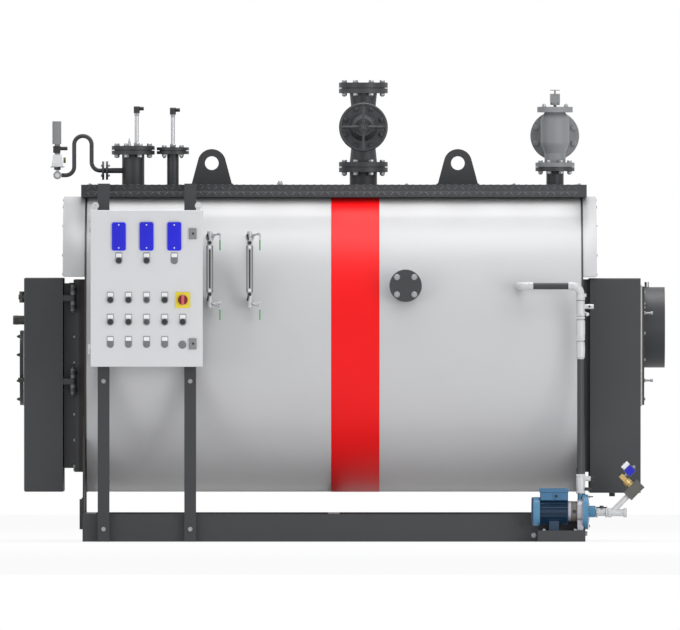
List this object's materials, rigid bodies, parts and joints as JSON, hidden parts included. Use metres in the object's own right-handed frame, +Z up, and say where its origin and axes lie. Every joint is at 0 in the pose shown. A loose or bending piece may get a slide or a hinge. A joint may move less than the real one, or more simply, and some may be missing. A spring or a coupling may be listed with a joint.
{
  "type": "industrial boiler",
  "caption": "Packaged horizontal fire-tube steam boiler with burner door, smoke box, walkway, steam and safety valves, control panel, level gauges and feed pump.",
  "frame": {"origin": "on the floor, under the middle cross-member of the base frame, midway along and across it", "axes": "+X along the barrel towards the flue, -Y towards the operator's side with the panel, +Z up"},
  "size_m": [3.334, 1.8485, 2.343],
  "materials": {
    "anthracite_paint": "satin anthracite paint",
    "white_sheet": "satin white coated sheet",
    "red_sheet": "satin red coated sheet",
    "tube_steel": "heat-darkened boiler plate",
    "insulation": "insulated pressure body, hidden",
    "refractory": "castable refractory",
    "chequer_plate": "painted chequer plate",
    "valve_iron": "painted cast iron",
    "grey_casting": "grey painted casting",
    "steel": "plain steel",
    "panel_grey": "light grey powder coat",
    "display_blue": "blue display window",
    "black_plastic": "black moulded plastic",
    "switch_yellow": "yellow plate",
    "knob_red": "red knob",
    "green_grip": "green lever grip",
    "pump_blue": "blue enamel",
    "white_plastic": "white moulded housing",
    "light_galvanised": "galvanised fittings"
  },
  "bodies": {
    "boiler": {"base_frame": "anthracite_paint", "front_leg_plate": "anthracite_paint", "rear_leg_plate": "anthracite_paint", "pressure_body": "insulation", "cladding": "white_sheet", "cladding_band": "red_sheet", "front_end_plate": "anthracite_paint", "rear_end_plate": "anthracite_paint", "front_tube_plate": "tube_steel", "furnace_tube": "tube_steel", "door_frame": "anthracite_paint", "hinge_brackets": "anthracite_paint", "front_casing": "white_sheet", "rear_casing": "white_sheet", "smoke_box": "anthracite_paint", "flue_outlet": "anthracite_paint", "walkway": "chequer_plate", "lug_front": "anthracite_paint", "lug_rear": "anthracite_paint", "probe_nozzles": "anthracite_paint", "level_probes": "steel", "siphon_pipe": "anthracite_paint", "pressure_switch": "white_plastic", "pressure_transmitter": "grey_casting", "steam_stub": "anthracite_paint", "steam_valve_body": "valve_iron", "steam_valve_bonnet": "valve_iron", "steam_counterflange": "anthracite_paint", "safety_stub": "anthracite_paint", "safety_valve_body": "grey_casting", "safety_valve_bonnet": "grey_casting", "post_left": "anthracite_paint", "post_right": "anthracite_paint", "panel_box": "panel_grey", "level_gauge_left": "steel", "level_gauge_right": "steel", "hand_hole": "anthracite_paint", "feed_pipe": "anthracite_paint", "feed_riser": "light_galvanised", "pump_bracket": "anthracite_paint", "pump_motor": "pump_blue", "pump_casing": "pump_blue", "suction_line": "light_galvanised", "feed_solenoid": "steel"},
    "front_door": {"front_door": "anthracite_paint", "door_lining": "refractory", "burner_plate": "anthracite_paint", "door_fittings": "steel"},
    "panel_door": {"panel_door": "panel_grey", "panel_displays": "display_blue", "panel_buttons": "black_plastic", "switch_plate": "switch_yellow"},
    "main_switch": {"switch_knob": "knob_red"},
    "handwheel": {"handwheel": "valve_iron"},
    "suction_handle": {"suction_handle": "black_plastic"},
    "left_high_lever": {"level_gauge_left_lever_high": "green_grip"},
    "left_low_lever": {"level_gauge_left_lever_low": "green_grip"},
    "right_high_lever": {"level_gauge_right_lever_high": "green_grip"},
    "right_low_lever": {"level_gauge_right_lever_low": "green_grip"}
  },
  "joints": [
    {"name": "front_door_hinge", "type": "hinge", "parent": "boiler", "child": "front_door", "pos_m": [-1.33, -0.525, 1.0275], "axis": [0, 0, 1], "range_deg": [0, 90]},
    {"name": "panel_door_hinge", "type": "hinge", "parent": "boiler", "child": "panel_door", "pos_m": [-1.243, -1.0275, 1.289], "axis": [0, 0, -1], "range_deg": [0, 120]},
    {"name": "main_switch_turn", "type": "hinge", "parent": "panel_door", "child": "main_switch", "pos_m": [-0.768, -1.066, 1.231], "axis": [0, -1, 0], "range_deg": [0, 90]},
    {"name": "handwheel_turn", "type": "hinge", "parent": "boiler", "child": "handwheel", "pos_m": [0.1505, -0.326, 2.113], "axis": [0, -1, 0], "continuous": true},
    {"name": "suction_handle_turn", "type": "hinge", "parent": "boiler", "child": "suction_handle", "pos_m": [1.362, -0.86, 0.1735], "axis": [0, 0, 1], "range_deg": [0, 90]},
    {"name": "left_high_lever_turn", "type": "hinge", "parent": "boiler", "child": "left_high_lever", "pos_m": [-0.58, -0.8, 1.565], "axis": [-1, 0, 0], "range_deg": [0, 90]},
    {"name": "left_low_lever_turn", "type": "hinge", "parent": "boiler", "child": "left_low_lever", "pos_m": [-0.58, -0.8, 1.211], "axis": [-1, 0, 0], "range_deg": [0, 90]},
    {"name": "right_high_lever_turn", "type": "hinge", "parent": "boiler", "child": "right_high_lever", "pos_m": [-0.377, -0.8, 1.565], "axis": [-1, 0, 0], "range_deg": [0, 90]},
    {"name": "right_low_lever_turn", "type": "hinge", "parent": "boiler", "child": "right_low_lever", "pos_m": [-0.377, -0.8, 1.211], "axis": [-1, 0, 0], "range_deg": [0, 90]}
  ]
}
